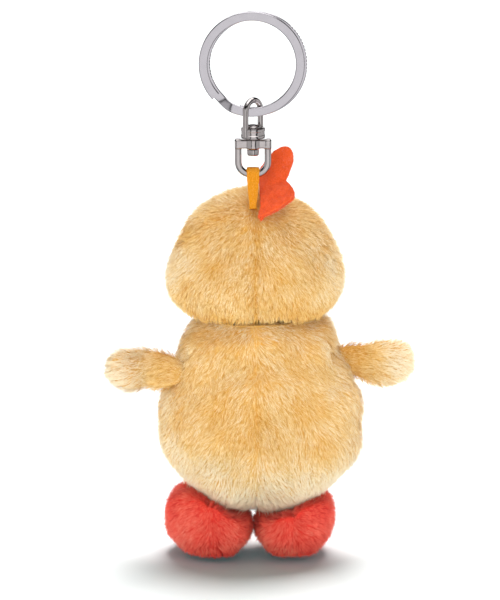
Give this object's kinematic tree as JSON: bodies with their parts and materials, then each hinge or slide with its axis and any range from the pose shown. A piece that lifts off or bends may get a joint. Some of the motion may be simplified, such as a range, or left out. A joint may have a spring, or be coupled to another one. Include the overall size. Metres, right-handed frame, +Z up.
{
  "type": "plush keychain",
  "caption": "Soft stuffed chick with a felt comb, wings and slipper feet, hung by a tape loop from a swivel on a split key ring.",
  "frame": {"origin": "the inside top of the split ring, where a hook, a finger or another ring bears", "axes": "+Z up towards the ring, -Y the way the chick looks, +X the chick's left"},
  "size_m": [0.0827, 0.0493, 0.1464],
  "materials": {
    "ring_steel": "polished",
    "swivel_nickel": "polished",
    "loop_tape": "matte",
    "comb_felt": "matte",
    "cream_plush": "matte",
    "coral_plush": "matte",
    "stuffing": "matte",
    "beak_felt": "matte",
    "eye_plastic": "gloss",
    "washer_plastic": "satin"
  },
  "bodies": {
    "key_ring": {"split_ring": "ring_steel"},
    "swivel_top": {"swivel_eye": "swivel_nickel", "swivel_rivet": "swivel_nickel"},
    "yoke": {"swivel_yoke": "swivel_nickel"},
    "loop": {"hanging_loop": "loop_tape"},
    "head": {"comb_left_felt": "comb_felt", "comb_right_felt": "comb_felt", "head_back_left_panel": "cream_plush", "head_back_right_panel": "cream_plush", "head_face_left_panel": "cream_plush", "head_face_right_panel": "cream_plush", "head_stuffing": "stuffing", "beak_upper": "beak_felt", "beak_lower": "beak_felt", "eye_left": "eye_plastic", "eye_right": "eye_plastic", "eye_washer_left": "washer_plastic", "eye_washer_right": "washer_plastic"},
    "torso": {"body_back_left_panel": "cream_plush", "body_back_right_panel": "cream_plush", "body_front_left_panel": "cream_plush", "body_front_right_panel": "cream_plush", "body_stuffing": "stuffing"},
    "wing_left": {"wing_left_front_panel": "cream_plush", "wing_left_back_panel": "cream_plush", "wing_left_stuffing": "stuffing"},
    "wing_right": {"wing_right_front_panel": "cream_plush", "wing_right_back_panel": "cream_plush", "wing_right_stuffing": "stuffing"},
    "foot_left": {"foot_left_upper": "coral_plush", "foot_left_sole": "coral_plush", "foot_left_stuffing": "stuffing"},
    "foot_right": {"foot_right_upper": "coral_plush", "foot_right_sole": "coral_plush", "foot_right_stuffing": "stuffing"}
  },
  "joints": [
    {"name": "ring_turn", "type": "hinge", "parent": "key_ring", "child": "swivel_top", "pos_m": [0, 0, -0.011], "axis": [0, 1, 0], "continuous": true},
    {"name": "swivel_spin", "type": "hinge", "parent": "swivel_top", "child": "yoke", "pos_m": [0, 0, -0.0322], "axis": [0, 0, 1], "continuous": true},
    {"name": "yoke_swing", "type": "hinge", "parent": "yoke", "child": "loop", "pos_m": [0, 0, -0.0403], "axis": [1, 0, 0], "range_deg": [-20, 75]},
    {"name": "tape_flex", "type": "hinge", "parent": "loop", "child": "head", "pos_m": [0, 0.002, -0.0471], "axis": [0, 1, 0], "range_deg": [-20, 20], "stiffness_Nm_per_rad": 0.004},
    {"name": "neck_tilt", "type": "hinge", "parent": "head", "child": "torso", "pos_m": [-0.0008, -0.0085, -0.0904], "axis": [1, 0, 0], "range_deg": [-10, 10], "stiffness_Nm_per_rad": 0.03},
    {"name": "wing_left_sweep", "type": "hinge", "parent": "torso", "child": "wing_left", "pos_m": [0.0262, -0.0075, -0.0942], "axis": [0, 0, 1], "range_deg": [-47, 13], "stiffness_Nm_per_rad": 0.0006},
    {"name": "wing_right_sweep", "type": "hinge", "parent": "torso", "child": "wing_right", "pos_m": [-0.0302, -0.0075, -0.093], "axis": [0, 0, 1], "range_deg": [-43, 17], "stiffness_Nm_per_rad": 0.0006},
    {"name": "foot_left_tip", "type": "hinge", "parent": "torso", "child": "foot_left", "pos_m": [0.0118, -0.0085, -0.1304], "axis": [1, 0, 0], "range_deg": [-12, 12], "stiffness_Nm_per_rad": 0.004},
    {"name": "foot_right_tip", "type": "hinge", "parent": "torso", "child": "foot_right", "pos_m": [-0.0108, -0.0085, -0.1304], "axis": [1, 0, 0], "range_deg": [-12, 12], "stiffness_Nm_per_rad": 0.004}
  ]
}
